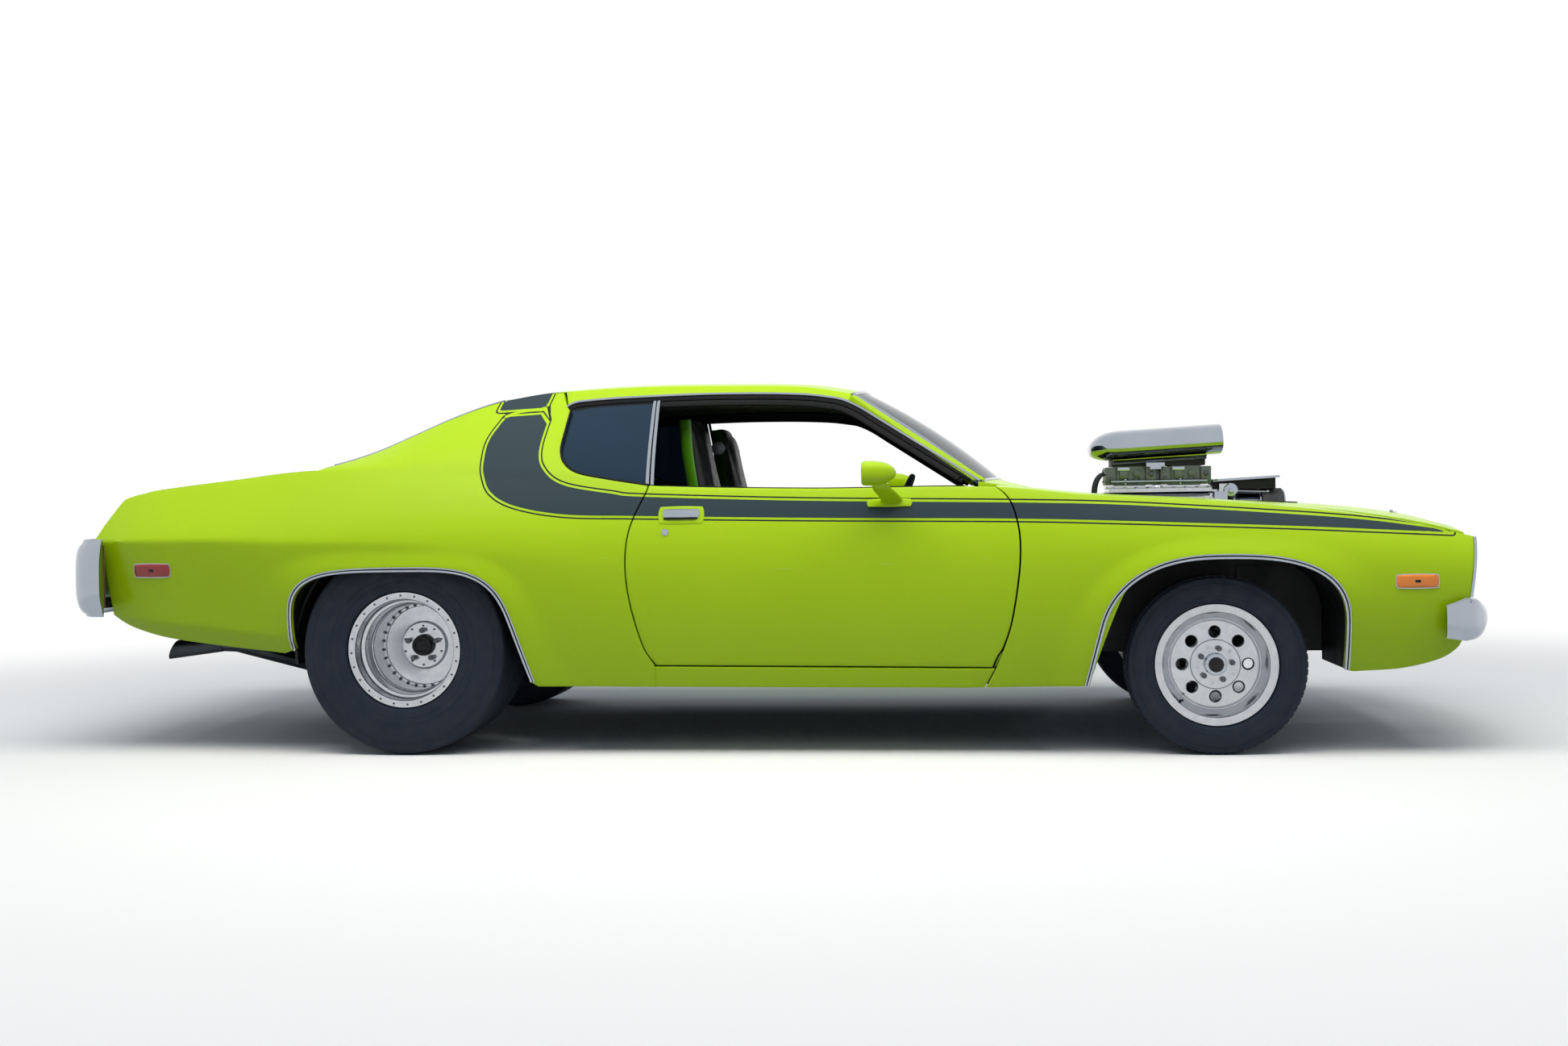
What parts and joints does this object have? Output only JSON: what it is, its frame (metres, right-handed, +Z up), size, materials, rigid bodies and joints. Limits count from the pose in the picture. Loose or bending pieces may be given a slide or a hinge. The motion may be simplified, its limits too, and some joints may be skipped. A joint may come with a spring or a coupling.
{
  "type": "muscle car with a blower through the hood",
  "caption": "Lime two-door muscle car with a side stripe, a blower and scoop through the hood, deep-dished rear wheels on slicks, and moving doors, hood, lid, steering and wheels.",
  "frame": {"origin": "on the ground under the middle of the car's length and width", "axes": "+X forward, +Y to the car's left, +Z up"},
  "size_m": [5.34, 2.204, 1.3928],
  "materials": {
    "paint": "gloss lime green",
    "black": "satin black",
    "trim": "grained black",
    "leather": "black, soft",
    "chrome": "polished",
    "steel": "satin",
    "wheel": "polished",
    "tyre": "matte",
    "glass": "dark tint",
    "lens": "clear red or amber"
  },
  "bodies": {
    "body": {"cowl": "paint", "sills": "paint", "quarter_left": "paint", "quarter_right": "paint", "fender_left": "paint", "fender_right": "paint", "roof": "paint", "deck_panel": "paint", "tail_panel": "paint", "front_panel": "paint", "floor_pan": "black", "frame_rails": "black", "firewall": "black", "door_posts": "black", "windshield_pillars": "black", "grille": "black", "inner_fenders": "black", "wheel_tubs": "black", "rear_bulkhead": "black", "radiator": "black", "rear_axle": "black", "front_suspension": "black", "dashboard": "trim", "steering_wheel": "trim", "seat_left": "leather", "seat_right": "leather", "headlamps": "chrome", "bumper_front": "chrome", "bumper_rear": "chrome", "blower": "chrome", "scoop": "chrome", "engine": "steel", "carburettors": "steel", "driveshaft": "steel", "exhaust": "steel", "windshield": "glass", "rear_window": "glass", "quarter_glass": "glass", "tail_lamps": "lens", "side_markers": "lens"},
    "door_left": {"door_left": "paint", "mirrors_handles_left": "chrome"},
    "door_right": {"door_right": "paint", "mirrors_handles_right": "chrome"},
    "hood": {"hood": "paint"},
    "trunk_lid": {"trunk_lid": "paint"},
    "steer_left": {"knuckle_left": "steel"},
    "steer_right": {"knuckle_right": "steel"},
    "front_left": {"wheel_front_left": "wheel", "tyre_front_left": "tyre"},
    "front_right": {"wheel_front_right": "wheel", "tyre_front_right": "tyre"},
    "rear_left": {"wheel_rear_left": "wheel", "tyre_rear_left": "tyre"},
    "rear_right": {"wheel_rear_right": "wheel", "tyre_rear_right": "tyre"}
  },
  "joints": [
    {"name": "steer_left", "type": "hinge", "parent": "body", "child": "steer_left", "pos_m": [1.6255, 0.706, 0.314], "axis": [0, 0, 1], "range_deg": [-30, 30]},
    {"name": "steer_right", "type": "hinge", "parent": "body", "child": "steer_right", "pos_m": [1.6255, -0.706, 0.314], "axis": [0, 0, 1], "range_deg": [-30, 30]},
    {"name": "spin_front_left", "type": "hinge", "parent": "steer_left", "child": "front_left", "pos_m": [1.6255, 0.82, 0.314], "axis": [0, 1, 0], "continuous": true},
    {"name": "spin_front_right", "type": "hinge", "parent": "steer_right", "child": "front_right", "pos_m": [1.6255, -0.82, 0.314], "axis": [0, 1, 0], "continuous": true},
    {"name": "spin_rear_left", "type": "hinge", "parent": "body", "child": "rear_left", "pos_m": [-1.2955, 0.75, 0.386], "axis": [0, 1, 0], "continuous": true},
    {"name": "spin_rear_right", "type": "hinge", "parent": "body", "child": "rear_right", "pos_m": [-1.2955, -0.75, 0.386], "axis": [0, 1, 0], "continuous": true},
    {"name": "door_left", "type": "hinge", "parent": "body", "child": "door_left", "pos_m": [0.869, 0.93102, 0.6], "axis": [0, 0, -1], "range_deg": [0, 62]},
    {"name": "door_right", "type": "hinge", "parent": "body", "child": "door_right", "pos_m": [0.869, -0.93102, 0.6], "axis": [0, 0, 1], "range_deg": [0, 62]},
    {"name": "hood", "type": "hinge", "parent": "body", "child": "hood", "pos_m": [0.9855, 0, 0.9732], "axis": [0, -1, 0], "range_deg": [0, 48]},
    {"name": "trunk_lid", "type": "hinge", "parent": "body", "child": "trunk_lid", "pos_m": [-1.7475, 0, 1.0677], "axis": [0, 1, 0], "range_deg": [0, 55]}
  ],
  "couplings": [
    {"joint": "steer_right", "follows": "steer_left", "ratio": 1}
  ]
}
